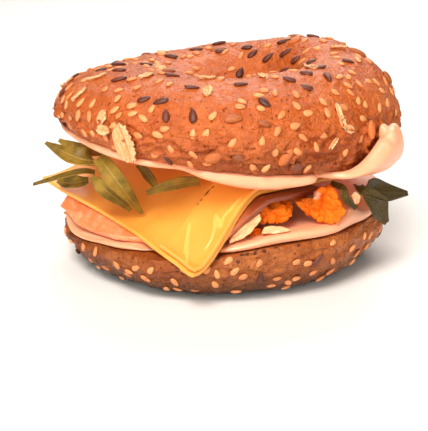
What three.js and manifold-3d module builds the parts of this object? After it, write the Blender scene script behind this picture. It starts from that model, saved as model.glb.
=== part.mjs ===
// A filled seeded bagel in millimetres, +Z up, its open front towards -Y.
import * as THREE from "three";
import { mergeVertices } from "three/addons/utils/BufferGeometryUtils.js";
import Module from "manifold-3d";

const wasm = await Module();
wasm.setup();

// Driving dimensions
const axisX = 1.2; // where the axis of the ring stands in the part's frame
const axisY = 2.3;
const lowerHeight = 12.5; // lower half at its low front rim
const upperHeight = 24.5; // nominal section of the upper half
const gap = 0.3; // clearance between neighbouring pieces
const hamThickness = 1.5;
const sliceThickness = 1.2;
const leafThickness = 0.55;
const upperSteps = 66;
const lowerSteps = 60;
const creamSteps = 44;

// Half sections of the ring as reach from the axis and level above the cut
const upperSection = [
  [50.4, 0],
  [52.4, 4],
  [52.9, 9],
  [51.4, 15],
  [47, 20],
  [39.5, 23.6],
  [31, 24.5],
  [22.5, 22.6],
  [15.8, 17.5],
  [11.4, 10.5],
  [8.9, 4.5],
  [8.4, 0],
];
const lowerSection = [
  [40, 0],
  [45.4, 2],
  [49.6, 5.8],
  [51.6, 10],
  [50.6, 12.5],
  [8.6, 12.5],
  [8.3, 7],
  [10, 3],
  [13.5, 0.7],
  [18, 0],
];

const radians = THREE.MathUtils.degToRad;
const smooth = (from, to, value) => THREE.MathUtils.smoothstep(value, from, to);
const hill = (offset, width) => Math.exp(-((offset / width) ** 2));

// Degrees from one bearing about the axis to another
function turnBetween(x, y, bearing) {
  const turn = THREE.MathUtils.radToDeg(Math.atan2(y, x)) - bearing;
  return ((((turn + 180) % 360) + 360) % 360) - 180;
}

// Cut faces of the bread
function lowerCut(x, y) {
  const reach = (x * x + y * y) / 2500;
  const leftDip = 2.6 * hill(turnBetween(x, y, -157), 20);
  const rightRise = 2.7 * hill(turnBetween(x, y, -68), 25);
  return 17 + 0.043 * x + 0.0745 * y + reach * (rightRise - leftDip);
}

function upperCut(x, y) {
  const reach = (x * x + y * y) / 2500;
  const leftRise = 1.2 * hill(turnBetween(x, y, -150), 30);
  const rightRise = 1.6 * hill(turnBetween(x, y, -18), 30);
  return 37.8 - 0.1 * x - 0.036 * y + reach * (leftRise + rightRise);
}

// The hole lies right of the middle of the ring
const holeShift = (reach) => 6 * (1 - smooth(10, 44, reach));

// Skin of the bread, given the reach and level of its section and the bearing
function lowerSkin(reach, level, bearing) {
  const swell = 0.5 * Math.sin(3 * bearing + 0.6) + 0.4 * Math.sin(7 * bearing + 2.1);
  const left = hill(turnBetween(Math.cos(bearing), Math.sin(bearing), -165), 25);
  const drawnIn = 1.6 * left * Math.sin((Math.PI * level) / lowerHeight);
  const out = reach + (swell - drawnIn) * smooth(20, 50, reach);
  const x = out * Math.cos(bearing) + holeShift(reach);
  const y = out * Math.sin(bearing);
  const z = (level / lowerHeight) * lowerCut(x, y);
  return new THREE.Vector3(x, y, z);
}

function upperSkin(reach, level, bearing) {
  const swell = 0.7 * Math.sin(3 * bearing + 1.1) + 0.45 * Math.sin(5 * bearing + 2.3);
  const ripple = 0.3 * Math.sin(11 * bearing + 0.4 * level) * smooth(1, 6, level);
  const out = reach + (swell + ripple) * smooth(22, 50, reach);
  const x = out * Math.cos(bearing) + 0.4 + holeShift(reach);
  const y = out * Math.sin(bearing);
  const crest = 62.2 + 2.8 * Math.cos(bearing) + 1.3 * Math.cos(2 * bearing - radians(80));
  const crease = 4 * hill(turnBetween(x - 6, y, 72), 20) * hill(reach - 14, 6);
  const lump = 0.5 * Math.sin(4 * bearing - 0.5) * hill(reach - 30, 12);
  const top = upperCut(x, y);
  const z = top + (level / upperHeight) * (crest + lump - crease - top);
  return new THREE.Vector3(x, y, z);
}

// Underside of the cheese: its left edge lies low and it climbs to the right
const cheeseTip = new THREE.Vector2(-10, -57);
const cheeseAlong = new THREE.Vector2(-0.642, 0.767);
const cheeseAcross = new THREE.Vector2(0.767, 0.642);
const leftEdge = new THREE.SplineCurve(
  [
    [0, 11.4],
    [6, 12.9],
    [13.4, 14.3],
    [24, 16.8],
    [42.6, 19.4],
    [64, 21.3],
    [75, 22.8],
  ].map(([along, level]) => new THREE.Vector2(along, level)),
);

function edgeLevel(along) {
  const stations = leftEdge.points;
  const inside = THREE.MathUtils.clamp(along, 0, 75);
  let i = 1;
  while (stations[i].x < inside) i += 1;
  const part = (inside - stations[i - 1].x) / (stations[i].x - stations[i - 1].x);
  return leftEdge.getPoint((i - 1 + part) / (stations.length - 1)).y;
}

function cheeseLevel(along, across) {
  const x = cheeseTip.x + along * cheeseAlong.x + across * cheeseAcross.x;
  const y = cheeseTip.y + along * cheeseAlong.y + across * cheeseAcross.y;
  const rest = 30.8 - 0.03 * (y + 40) - 0.02 * (x + 10);
  const low = edgeLevel(along);
  const rise = smooth(1.5, 26 + 0.12 * Math.max(along, 0), across);
  const wave = 0.5 * Math.sin(along / 6) * smooth(8, 16, across) * smooth(6, 20, along);
  return new THREE.Vector3(x, y, low + rise * (rest - low) + wave);
}

// Along and across the slice for a point in plan
function onSlice(x, y) {
  const from = new THREE.Vector2(x, y).sub(cheeseTip);
  return [from.dot(cheeseAlong), from.dot(cheeseAcross)];
}

// The ham's left edge hangs out from under the cheese and sags from its bend on
const hamEdge = (along) => 10 - 14 * smooth(12, 30, along) + 3.5 * smooth(46, 64, along);
const hamBend = (along) => 1.5 + 3 * smooth(44, 60, along);

function hamLevel(along, across) {
  const bend = hamBend(along);
  const hanging = THREE.MathUtils.clamp((bend - across) / Math.max(bend - hamEdge(along), 1), 0, 1);
  const point = cheeseLevel(along, across);
  point.z -= 4 * smooth(24, 46, along) * hanging ** 2 * (1.6 - 0.6 * hanging);
  return point;
}

// Highest level that a piece under the ham may take
function underHam(x, y) {
  const [along, across] = onSlice(x, y);
  const inside = Math.max(across, Math.min(hamEdge(along), 0));
  const level = hamLevel(along, inside).z;
  const slope = hamLevel(along, inside + 1).z - level;
  return level - (hamThickness + 2 * gap) * Math.hypot(1, slope);
}

// A closed sheet on a surface, its two faces at the given offsets along the normal
function sheet(surface, alongSteps, acrossSteps, lower, upper) {
  const points = [];
  const step = 1e-3;
  for (const offset of [lower, upper]) {
    for (let i = 0; i <= alongSteps; i += 1) {
      for (let j = 0; j <= acrossSteps; j += 1) {
        const u = i / alongSteps;
        const v = j / acrossSteps;
        const point = surface(u, v);
        const alongEdge = surface(u + step, v).sub(surface(u - step, v));
        const acrossEdge = surface(u, v + step).sub(surface(u, v - step));
        const normal = alongEdge.cross(acrossEdge).normalize();
        const height = typeof offset === "function" ? offset(u, v) : offset;
        points.push(point.addScaledVector(normal, height));
      }
    }
  }
  const row = acrossSteps + 1;
  const layer = (alongSteps + 1) * row;
  const index = [];
  const quad = (a, b, c, d) => index.push(a, b, c, a, c, d);
  for (let i = 0; i < alongSteps; i += 1) {
    for (let j = 0; j < acrossSteps; j += 1) {
      const a = i * row + j;
      index.push(a, a + 1, a + row + 1, a, a + row + 1, a + row);
      const b = a + layer;
      index.push(b, b + row + 1, b + 1, b, b + row, b + row + 1);
    }
  }
  for (let i = 0; i < alongSteps; i += 1) {
    const first = i * row;
    const last = first + acrossSteps;
    quad(first, first + row, first + row + layer, first + layer);
    quad(last + row, last, last + layer, last + row + layer);
  }
  for (let j = 0; j < acrossSteps; j += 1) {
    const far = alongSteps * row + j;
    quad(j + 1, j, j + layer, j + 1 + layer);
    quad(far, far + 1, far + 1 + layer, far + layer);
  }
  const geometry = new THREE.BufferGeometry().setFromPoints(points);
  geometry.setIndex(index);
  return geometry;
}

// A turned body whose section is placed afresh at each bearing
function turned(sectionCount, steps, place) {
  const blank = Array.from({ length: sectionCount }, () => new THREE.Vector2(1, 0));
  const geometry = new THREE.LatheGeometry(blank, steps);
  const positions = geometry.attributes.position;
  for (let i = 0; i < positions.count; i += 1) {
    const bearing = (Math.floor(i / sectionCount) % steps) * ((2 * Math.PI) / steps);
    const point = place(i % sectionCount, bearing);
    positions.setXYZ(i, point.x, point.y, point.z);
  }
  return geometry;
}

function toSolid(geometry) {
  const bare = geometry.clone();
  bare.deleteAttribute("normal");
  bare.deleteAttribute("uv");
  const merged = mergeVertices(bare, 1e-4);
  const mesh = new wasm.Mesh({
    numProp: 3,
    vertProperties: merged.attributes.position.array,
    triVerts: new Uint32Array(merged.index.array),
  });
  return new wasm.Manifold(mesh);
}

function toGeometry(solid) {
  const mesh = solid.getMesh();
  const geometry = new THREE.BufferGeometry();
  geometry.setAttribute("position", new THREE.BufferAttribute(mesh.vertProperties, 3));
  geometry.setIndex(new THREE.BufferAttribute(mesh.triVerts, 1));
  return geometry;
}

// The same row of numbers each time, for scattering the toppings
function dice(seed) {
  let state = seed;
  return () => {
    state = (Math.imul(state, 1664525) + 1013904223) >>> 0;
    return state / 4294967296;
  };
}

function grain(point, normal, heading, size, sink) {
  const blank = new THREE.SphereGeometry(1, 5, 3);
  const side = new THREE.Vector3().crossVectors(normal, heading).normalize();
  const ahead = new THREE.Vector3().crossVectors(side, normal);
  const frame = new THREE.Matrix4().makeBasis(
    ahead.multiplyScalar(size[0]),
    side.multiplyScalar(size[1]),
    normal.clone().multiplyScalar(size[2]),
  );
  blank.rotateX(Math.PI / 2);
  blank.applyMatrix4(frame.setPosition(point.clone().addScaledVector(normal, sink)));
  return blank;
}

// Fuses evenly spread grains to a loaf, the largest first
function strew(loaf, surface, spread) {
  const roll = dice(spread.seed);
  const taken = [];
  let solid = toSolid(loaf);
  for (const kind of spread.kinds) {
    let left = kind.count;
    for (let tries = 0; left > 0 && tries < 4000; tries += 1) {
      const u = roll();
      const v = spread.from + roll() * (spread.to - spread.from);
      const heading = new THREE.Vector3(roll() - 0.5, roll() - 0.5, roll() - 0.5);
      const point = surface(u, v);
      const room = Math.min(...taken.map((other) => other.distanceTo(point)));
      if (room < spread.spacing || spread.barred(point)) continue;
      const alongEdge = surface(u + 1e-3, v).sub(surface(u - 1e-3, v));
      const acrossEdge = surface(u, v + 1e-3).sub(surface(u, v - 1e-3));
      const normal = alongEdge.cross(acrossEdge).normalize();
      solid = solid.add(toSolid(grain(point, normal, heading, kind.size, kind.sink)));
      taken.push(point);
      left -= 1;
    }
  }
  return toGeometry(solid);
}

const pieces = [];

function add(name, geometry, look) {
  const material = new THREE.MeshStandardMaterial({ metalness: 0, ...look });
  const mesh = new THREE.Mesh(geometry, material);
  mesh.name = name;
  mesh.position.set(axisX, axisY, 0);
  pieces.push(mesh);
}

const crustLook = { color: "#d98449", roughness: 0.55 };
const creamLook = { color: "#f6d0a6", roughness: 0.3 };
const cheeseLook = { color: "#fbb04c", roughness: 0.4 };
const hamLook = { color: "#ee9463", roughness: 0.45 };
const whiteLook = { color: "#f9c890", roughness: 0.45 };
const yolkLook = { color: "#f57e1c", roughness: 0.6 };
const leafLook = { color: "#75602a", roughness: 0.5 };

// Lower half of the bread
const lowerCurve = new THREE.SplineCurve(
  lowerSection.slice(0, 5).map(([reach, level]) => new THREE.Vector2(reach, level)),
);
const lowerRim = lowerCurve.getPoints(7).map((point) => [point.x, point.y]);
const lowerCore = [[36, 12.5], [22, 12.5], ...lowerSection.slice(5)];
const lowerLoop = [...lowerRim, ...lowerCore, lowerRim[0]];
const lowerBread = turned(lowerLoop.length, lowerSteps, (i, bearing) =>
  lowerSkin(lowerLoop[i][0], lowerLoop[i][1], bearing),
);
const lowerSurface = (u, v) => {
  const point = lowerCurve.getPoint(v);
  return lowerSkin(point.x, point.y, u * 2 * Math.PI);
};
add(
  "bagel_bottom",
  strew(lowerBread, lowerSurface, {
    seed: 7,
    from: 0.25,
    to: 0.8,
    spacing: 8,
    kinds: [{ count: 14, size: [2, 1.2, 0.8], sink: 0.15 }],
    barred: (point) => Math.hypot(point.x + 8, point.y + 54) < 12,
  }),
  crustLook,
);

// Upper half of the bread
const upperCurve = new THREE.SplineCurve(
  upperSection.map(([reach, level]) => new THREE.Vector2(reach, level)),
);
const upperCore = [22, 37].map((reach) => [reach, 0]);
const upperRim = upperCurve.getPoints(17).map((point) => [point.x, point.y]);
const upperLoop = [...upperRim, ...upperCore, upperRim[0]];
const upperBread = turned(upperLoop.length, upperSteps, (i, bearing) =>
  upperSkin(upperLoop[i][0], upperLoop[i][1], bearing),
);
const upperSurface = (u, v) => {
  const point = upperCurve.getPoint(v);
  return upperSkin(point.x, point.y, u * 2 * Math.PI);
};
add(
  "bagel_top",
  strew(upperBread, upperSurface, {
    seed: 3,
    from: 0.16,
    to: 0.68,
    spacing: 9,
    kinds: [
      { count: 6, size: [4, 2.6, 0.7], sink: 0.2 },
      { count: 12, size: [2.5, 1.3, 0.9], sink: 0.2 },
      { count: 22, size: [1.9, 1.1, 0.8], sink: 0.2 },
    ],
    barred: (point) => point.x > 25 && point.y < 5 && point.z < 52,
  }),
  crustLook,
);

// Soft cheese under the filling, thick at the right and drawn in under the slices
const lowerCreamRim = [
  [0, 0],
  [12, 0],
  [28, 0],
  [44, 0],
  [49.2, 0.1],
  [50.2, 0.35],
  [50.3, 0.65],
  [49.3, 0.92],
  [46, 1],
  [36, 1],
  [24, 1],
  [12, 1],
  [0, 1],
];
const lobe = (x, y) => hill(x - 38, 5) * hill(y + 33, 6);
add(
  "cream_lower",
  turned(lowerCreamRim.length, creamSteps, (i, bearing) => {
    const [reach, part] = lowerCreamRim[i];
    const drawnIn = 6 * hill(turnBetween(Math.cos(bearing), Math.sin(bearing), -108), 16);
    const wobble = 0.5 * Math.sin(6 * bearing + 1) + 0.4 * Math.sin(11 * bearing);
    const out = reach + (reach / 50) * (wobble - drawnIn);
    const x = out * Math.cos(bearing);
    const y = out * Math.sin(bearing);
    const floor = lowerCut(x, y) + gap;
    const right = smooth(-5, 20, x) * smooth(-10, 20, -y);
    const thick = 1.7 + 1.6 * right + 3.4 * lobe(x, y);
    const ceiling = onSlice(x, y)[0] > -7 ? Math.max(underHam(x, y), floor + 0.6) : Infinity;
    return new THREE.Vector3(x, y, floor + part * Math.min(thick, ceiling - floor));
  }),
  creamLook,
);

// Sliced ham under the cheese, showing along both of its front edges
const hamSurface = (u, v) => {
  const across = THREE.MathUtils.lerp(hamEdge(64 * v), 46, u * (0.4 + 0.6 * u));
  const end = 64 + 6 * smooth(4, 20, across);
  return hamLevel(THREE.MathUtils.lerp(0.5 - 6 * smooth(11, 22, across), end, v), across);
};
add("ham", sheet(hamSurface, 11, 17, -gap - hamThickness, -gap), hamLook);

// Two cheese slices, the upper one narrower
const lowerSlice = (u, v) => cheeseLevel(76.5 * v - 1.5, 68 * u);
add("cheese_lower", sheet(lowerSlice, 14, 18, 0, sliceThickness), cheeseLook);
const upperSlice = (u, v) => {
  const across = THREE.MathUtils.lerp(0.5, 48, u);
  const along = THREE.MathUtils.lerp(-2, 14 + 20 * smooth(20, 50, across), v);
  return cheeseLevel(along, across);
};
const upperSliceBase = sliceThickness + 1.6 * gap;
add("cheese_upper", sheet(upperSlice, 16, 6, upperSliceBase, upperSliceBase + sliceThickness), cheeseLook);

// Soft cheese under the upper half: a lens at the front and a fold squeezed out at the right
const upperCreamRim = [
  [0, 0],
  [14, 0],
  [30, 0],
  [43, 0],
  [48, 0.02],
  [50.4, 0.2],
  [51.2, 0.5],
  [50.8, 0.85],
  [50.2, 0.95],
  [49.4, 1],
  [46, 1],
  [32, 1],
  [16, 1],
  [0, 1],
];
const foldBearing = -30;
const foldRim = [
  [0, 0],
  [0, 0],
  [0, 0],
  [0, 0],
  [5.2, -0.5],
  [7, 3],
  [8, 8],
  [6.6, 12.5],
  [4.3, 11],
  [3.6, 0],
  [0, 0],
  [0, 0],
  [0, 0],
  [0, 0],
];
add(
  "cream_upper",
  turned(upperCreamRim.length, creamSteps, (i, step) => {
    const [reach, part] = upperCreamRim[i];
    const bearing = step - 0.55 * Math.sin(step - radians(foldBearing));
    const ax = Math.cos(bearing);
    const ay = Math.sin(bearing);
    const fromFold = turnBetween(ax, ay, foldBearing);
    const fold = hill(fromFold, fromFold < 0 ? 15 : 8);
    const lens = hill(turnBetween(ax, ay, -80), 20);
    const drawnIn = 4 * hill(turnBetween(ax, ay, -106), 6) + 5 * hill(turnBetween(ax, ay, -56), 4);
    const out = reach + (reach / 50) * (0.6 * lens - drawnIn) + Math.sqrt(fold) * foldRim[i][0];
    const x = out * ax + 0.4;
    const y = out * ay;
    const ceiling = upperCut(x, y) - gap;
    const left = 1.2 * hill(turnBetween(ax, ay, -132), 20);
    const thick = 1.8 + smooth(30, 48, reach) * (3 * lens + left);
    const z = ceiling - (1 - part) * thick + fold ** 1.7 * foldRim[i][1];
    return new THREE.Vector3(x, y, z);
  }),
  creamLook,
);

// Egg, torn into chunks that lie between the two layers of soft cheese
function chunk(name, centre, size, turns, look) {
  const blank = new THREE.SphereGeometry(1, 10, 8);
  const turn = new THREE.Euler(...turns.map(radians));
  const positions = blank.attributes.position;
  const point = new THREE.Vector3();
  const boxy = 3;
  for (let i = 0; i < positions.count; i += 1) {
    point.fromBufferAttribute(positions, i);
    const norm = Math.abs(point.x) ** boxy + Math.abs(point.y) ** boxy + Math.abs(point.z) ** boxy;
    point.multiplyScalar(norm ** (-1 / boxy));
    const lump = 1 + 0.06 * Math.sin(5 * point.x + centre[0]) + 0.05 * Math.sin(6 * point.y + centre[1]);
    point.multiply(new THREE.Vector3(...size)).multiplyScalar(lump).applyEuler(turn);
    point.add(new THREE.Vector3(...centre));
    if (onSlice(point.x, point.y)[0] > -8) point.z = Math.min(point.z, underHam(point.x, point.y) - gap);
    positions.setXYZ(i, point.x, point.y, point.z);
  }
  add(name, blank, look);
}
chunk("egg_white_slab", [5.4, -46.4, 22], [6, 2, 2.6], [10, -32, 20], whiteLook);
chunk("egg_yolk_front", [17.2, -40.6, 25.8], [6.4, 3.6, 3.9], [-8, 4, 6], yolkLook);
chunk("egg_yolk_side", [29.4, -36.2, 27.4], [6.6, 4.4, 4.3], [-10, 28, 22], yolkLook);
chunk("egg_white_front", [14.8, -45.4, 22.1], [5, 1.4, 1], [0, -8, 10], whiteLook);
chunk("egg_white_side", [38, -34, 26.6], [1.2, 1.4, 2.2], [0, 10, 0], whiteLook);
chunk("egg_crumb", [8.8, -42.4, 21], [1.4, 1.2, 1.5], [0, 0, 30], yolkLook);

// Rocket leaves and stems, each along a line of points with half its width at each
function leafShape(line, widths, facing) {
  const spine = new THREE.CatmullRomCurve3(line.map((point) => new THREE.Vector3(...point)));
  const half = new THREE.SplineCurve(widths.map((width, i) => new THREE.Vector2(i, width)));
  const face = new THREE.Vector3(...facing);
  const surface = (u, v) => {
    const at = THREE.MathUtils.clamp(u, 0, 1);
    const ahead = spine.getTangent(at);
    const side = new THREE.Vector3().crossVectors(face, ahead).normalize();
    const up = new THREE.Vector3().crossVectors(ahead, side);
    const across = 2 * v - 1;
    const wave = 0.5 * Math.sin(9 * at + 3 * across) * Math.abs(across);
    const width = half.getPoint(at).y;
    return spine
      .getPoint(at)
      .addScaledVector(ahead, u - at)
      .addScaledVector(side, -across * width)
      .addScaledVector(up, width * 0.25 * across * across + wave * Math.min(1, width / 3));
  };
  const [alongSteps, acrossSteps] = Math.max(...widths) > 2 ? [10, 4] : [8, 2];
  return sheet(surface, alongSteps, acrossSteps, -leafThickness / 2, leafThickness / 2);
}

const leaf = (name, ...shape) => add(name, leafShape(...shape), leafLook);
leaf(
  "leaf_left_outer",
  [[-34.9, -20, 34.2], [-38, -26.5, 36.3], [-43.8, -27, 37.7], [-53.4, -20, 40.2]],
  [2, 3.2, 3, 0.5],
  [-0.2, -0.5, 0.85],
);
leaf(
  "leaf_left_front",
  [[-36.4, -30.5, 38.4], [-32.8, -35.5, 35.3], [-29.2, -36.5, 30.5], [-24.2, -31, 21.4]],
  [2, 2.7, 2.2, 0.5],
  [-0.3, -0.8, 0.5],
);
leaf(
  "leaf_left_blade",
  [[-38.7, -30, 32.3], [-36.2, -32.5, 30.5], [-32.1, -33, 27.2], [-27.5, -30.5, 22.2]],
  [0.8, 1.8, 1.8, 0.5],
  [-0.3, -0.8, 0.5],
);
leaf(
  "leaf_left_thin",
  [[-39.3, -16, 30], [-42.5, -17, 30.6], [-49.6, -15, 28.6], [-59.3, -11, 24.7]],
  [0.7, 0.9, 0.8, 0.5],
  [-0.3, -0.7, 0.7],
);
leaf(
  "leaf_left_low",
  [[-41.8, -14, 26.9], [-45, -13, 25.9], [-48.7, -11, 25.2], [-52.1, -9, 25.1]],
  [1, 2, 1.8, 0.5],
  [-0.3, -0.7, 0.7],
);
leaf(
  "leaf_left_back",
  [[-35, -17, 36.4], [-41, -20, 37.4], [-46, -19, 39], [-50, -16, 40]],
  [1, 1.6, 1.4, 0.5],
  [-0.5, -0.6, 0.6],
);
leaf(
  "stem_left",
  [[-25.6, -24, 34.6], [-23.4, -26, 33], [-21.6, -27, 30.5], [-20.2, -26, 27.8]],
  [1.1, 1.3, 1.2, 0.8],
  [-0.2, -1, 0.2],
);
leaf(
  "stem_middle",
  [[-22.5, -33, 28], [-18.6, -35, 30.2], [-12.8, -35, 31.4], [-7.1, -33, 31.6]],
  [0.6, 0.9, 1.1, 0.9],
  [-0.1, -1, 0.3],
);
leaf(
  "stem_right",
  [[31, -31, 30.6], [34, -37, 31], [34.6, -40, 28.6], [38, -38, 25.2]],
  [0.7, 0.9, 0.9, 0.6],
  [0.3, -1, 0.2],
);
const upperLobe = leafShape(
  [[39.4, -29, 29.4], [41, -34.6, 30.2], [46, -30.5, 28], [55.6, -21, 24.8]],
  [1.5, 2.4, 3.4, 0.6],
  [0.2, -0.8, 0.55],
);
const lowerLobe = leafShape(
  [[40.4, -35, 30.2], [43, -35.6, 27.4], [45.4, -33, 23.2], [48.2, -30.6, 18.4]],
  [1.4, 2.6, 3.2, 0.8],
  [0.35, -0.9, 0.25],
);
add("leaf_right", toGeometry(toSolid(upperLobe).add(toSolid(lowerLobe))), leafLook);

const group = new THREE.Group();
group.add(...pieces);
export default group;
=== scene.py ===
import functools
import math
import random

import bmesh
import bpy
from mathutils import Matrix, Vector, geometry, noise
from mathutils.bvhtree import BVHTree


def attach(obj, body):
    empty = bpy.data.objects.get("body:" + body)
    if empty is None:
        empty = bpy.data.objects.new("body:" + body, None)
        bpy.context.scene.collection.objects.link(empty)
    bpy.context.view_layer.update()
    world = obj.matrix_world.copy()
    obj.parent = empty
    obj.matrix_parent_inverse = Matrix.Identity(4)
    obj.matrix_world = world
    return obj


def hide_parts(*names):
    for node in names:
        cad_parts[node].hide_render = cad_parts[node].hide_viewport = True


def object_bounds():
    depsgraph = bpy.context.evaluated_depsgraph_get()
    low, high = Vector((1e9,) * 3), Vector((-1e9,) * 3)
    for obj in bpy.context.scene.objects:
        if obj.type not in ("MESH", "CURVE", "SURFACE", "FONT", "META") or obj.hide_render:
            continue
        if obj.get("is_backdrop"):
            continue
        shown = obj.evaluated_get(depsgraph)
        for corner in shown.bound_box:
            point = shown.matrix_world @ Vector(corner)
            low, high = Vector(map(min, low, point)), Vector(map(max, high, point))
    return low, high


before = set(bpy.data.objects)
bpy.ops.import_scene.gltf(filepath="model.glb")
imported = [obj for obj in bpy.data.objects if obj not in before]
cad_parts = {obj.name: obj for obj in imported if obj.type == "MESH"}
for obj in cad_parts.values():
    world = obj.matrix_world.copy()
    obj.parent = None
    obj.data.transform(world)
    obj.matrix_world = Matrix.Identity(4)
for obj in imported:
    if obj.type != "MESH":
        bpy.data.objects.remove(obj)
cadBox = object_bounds()

# Everything is shaped in millimetres round the axis of the ring and goes to metres at the end
millimetre = 0.001
ringAxis = Vector((1.2, 2.3, 0))
gap = 0.3  # clearance between neighbouring pieces
rimReach = 50  # from the axis
sharpAngle = 1  # radians, past which the edges of a sheet are rounded

# The photograph's view, also used to lay the toppings where they show
picture = {
    "target": Vector((-3, 0, 11)),
    "elevation": math.radians(17.5),
    "distance": 360,
    "middle": (214, 215.5),
    "focal": 1111,  # in the photograph's pixels
    "longSide": 431,
}


def smooth(low, high, value):
    part = min(max((value - low) / (high - low), 0), 1)
    return part * part * (3 - 2 * part)


def hill(away, width):
    return math.exp(-((away / width) ** 2))


def mixed(first, second, part):
    return first + (second - first) * part


def turnBetween(x, y, bearing):
    return (math.degrees(math.atan2(y, x)) - bearing + 180) % 360 - 180


# A point on a smooth line through evenly timed stations
def along(stations, part):
    last = len(stations) - 1
    time = min(max(part, 0), 1) * last
    i = min(int(time), last - 1)
    t = time - i
    before, start, end, after = (Vector(stations[min(max(i + k, 0), last)]) for k in (-1, 0, 1, 2))
    leave = (end - before) / 2
    arrive = (after - start) / 2
    cubic = start * 2 - end * 2 + leave + arrive
    square = end * 3 - start * 3 - leave * 2 - arrive
    return cubic * t**3 + square * t**2 + leave * t + start


# The same for a row that is asked for the same shares again and again
@functools.cache
def onRow(row, part):
    return tuple(along([(*pair, 0) for pair in row], part)[:2])


# A socket that takes arithmetic
class Link:
    def __init__(self, recipe, socket):
        self.recipe = recipe
        self.socket = socket

    def __add__(self, other):
        return self.recipe.maths("ADD", self, other)

    def __sub__(self, other):
        return self.recipe.maths("SUBTRACT", self, other)

    def __rsub__(self, other):
        return self.recipe.maths("SUBTRACT", other, self)

    def __mul__(self, other):
        return self.recipe.maths("MULTIPLY", self, other)

    __radd__ = __add__
    __rmul__ = __mul__


# The node tree of one material
class Recipe:
    def __init__(self, name):
        self.material = bpy.data.materials.new(name)
        self.material.use_nodes = True
        self.tree = self.material.node_tree
        self.tree.nodes.clear()
        space = self.node("TexCoord", output="Object")
        toMillimetres = {"Vector": space, "Location": -ringAxis, "Scale": (1000, 1000, 1000)}
        self.place = self.node("Mapping", {}, toMillimetres)

    def node(self, kind, settings=None, values=None, output=0):
        made = self.tree.nodes.new("ShaderNode" + kind)
        for name, value in (settings or {}).items():
            if name == "stops":
                self.setStops(made.color_ramp, value)
            else:
                setattr(made, name, value)
        for name, value in (values or {}).items():
            if isinstance(value, Link):
                self.tree.links.new(value.socket, made.inputs[name])
            else:
                made.inputs[name].default_value = shade(value) if isinstance(value, str) else value
        return Link(self, made.outputs[output]) if made.outputs else made

    def setStops(self, ramp, stops):
        while len(ramp.elements) < len(stops):
            ramp.elements.new(0.5)
        for element, (position, level) in zip(ramp.elements, stops):
            element.position = position
            element.color = (level, level, level, 1)

    def maths(self, operation, first, second):
        return self.node("Math", {"operation": operation}, {0: first, 1: second})

    # For colours the Mix node takes its inputs 6 and 7 and gives its output 2
    def blend(self, factor, first, second):
        settings = {"data_type": "RGBA", "clamp_factor": True}
        return self.node("Mix", settings, {0: factor, 6: first, 7: second}, 2)

    # Colours laid over each other, each through its own mask
    def layered(self, colour, *layers):
        for mask, over in layers:
            colour = self.blend(mask, colour, over)
        return colour

    def ramp(self, value, *stops):
        return self.node("ValToRGB", {"stops": stops}, {"Fac": value})

    def grain(self, size, detail=2, roughness=0.5, place=None):
        values = {"Vector": place or self.place, "Scale": 1 / size, "Detail": detail, "Roughness": roughness}
        return self.node("TexNoise", {}, values)

    def cells(self, size, feature="F1", place=None):
        values = {"Vector": place or self.place, "Scale": 1 / size}
        return self.node("TexVoronoi", {"feature": feature}, values)

    def stretched(self, scale):
        return self.node("Mapping", {}, {"Vector": self.place, "Scale": scale})

    # The place, pushed about by noise of a given size
    def bent(self, size, reach):
        drift = self.node("TexNoise", {}, {"Vector": self.place, "Scale": 1 / size}, "Color")
        values = {0: drift, 1: (reach, reach, reach), 2: self.place}
        return self.node("VectorMath", {"operation": "MULTIPLY_ADD"}, values)

    def axisOf(self, name):
        return self.node("SeparateXYZ", {}, {"Vector": self.place}, name)

    def attribute(self, name):
        return self.node("Attribute", {"attribute_name": name}, output="Fac")

    # Scatter is the weight, scale and radius of the light under the surface
    def finish(self, colour, roughness, height=None, depth=0.2, scatter=(), **constants):
        values = {"Base Color": colour, "Roughness": roughness}
        if height is not None:
            bump = {"Height": height, "Distance": depth * millimetre}
            values["Normal"] = self.node("Bump", {}, bump)
        values.update(zip(("Subsurface Weight", "Subsurface Scale", "Subsurface Radius"), scatter))
        values.update({name.replace("_", " "): value for name, value in constants.items()})
        shader = self.node("BsdfPrincipled", {}, values)
        self.node("OutputMaterial", {}, {"Surface": shader})
        return self.material


# A colour as it is written in paint programs
def shade(code):
    levels = [int(code[i : i + 2], 16) / 255 for i in (1, 3, 5)]
    straight = [v / 12.92 if v <= 0.04045 else ((v + 0.055) / 1.055) ** 2.4 for v in levels]
    return (*straight, 1)


def meshOf(shape, name):
    mesh = bpy.data.meshes.new(name)
    shape.to_mesh(mesh)
    shape.free()
    return mesh


def inScene(name, data):
    item = bpy.data.objects.new(name, data)
    bpy.context.scene.collection.objects.link(item)
    return item


# Moves a finished shape to its place in the frame and makes it a piece of the model
def makePiece(shape, name, material, nodes):
    bmesh.ops.translate(shape, verts=shape.verts, vec=ringAxis)
    bmesh.ops.scale(shape, verts=shape.verts, vec=(millimetre, millimetre, millimetre))
    mesh = meshOf(shape, name)
    mesh.shade_smooth()
    mesh.materials.append(material)
    piece = inScene(name, mesh)
    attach(piece, "root")
    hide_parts(*nodes)
    print("made", name, "with", len(mesh.polygons), "faces")


# Wraps a grid round the axis, each point placed by its share of the section and its bearing
def turned(stations, steps, place):
    shape = bmesh.new()
    bmesh.ops.create_grid(shape, x_segments=steps, y_segments=stations, size=0.5)
    for vert in shape.verts:
        share = round((vert.co.y + 0.5) * stations) / stations
        vert.co = place(share, 2 * math.pi * (vert.co.x + 0.5))
    bmesh.ops.remove_doubles(shape, verts=shape.verts, dist=1e-4)
    bmesh.ops.recalc_face_normals(shape, faces=shape.faces)
    return shape


# Adds one small shape to a piece that holds many
def gather(shape, small):
    part = meshOf(small, "part")
    shape.from_mesh(part)
    bpy.data.meshes.remove(part)


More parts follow.
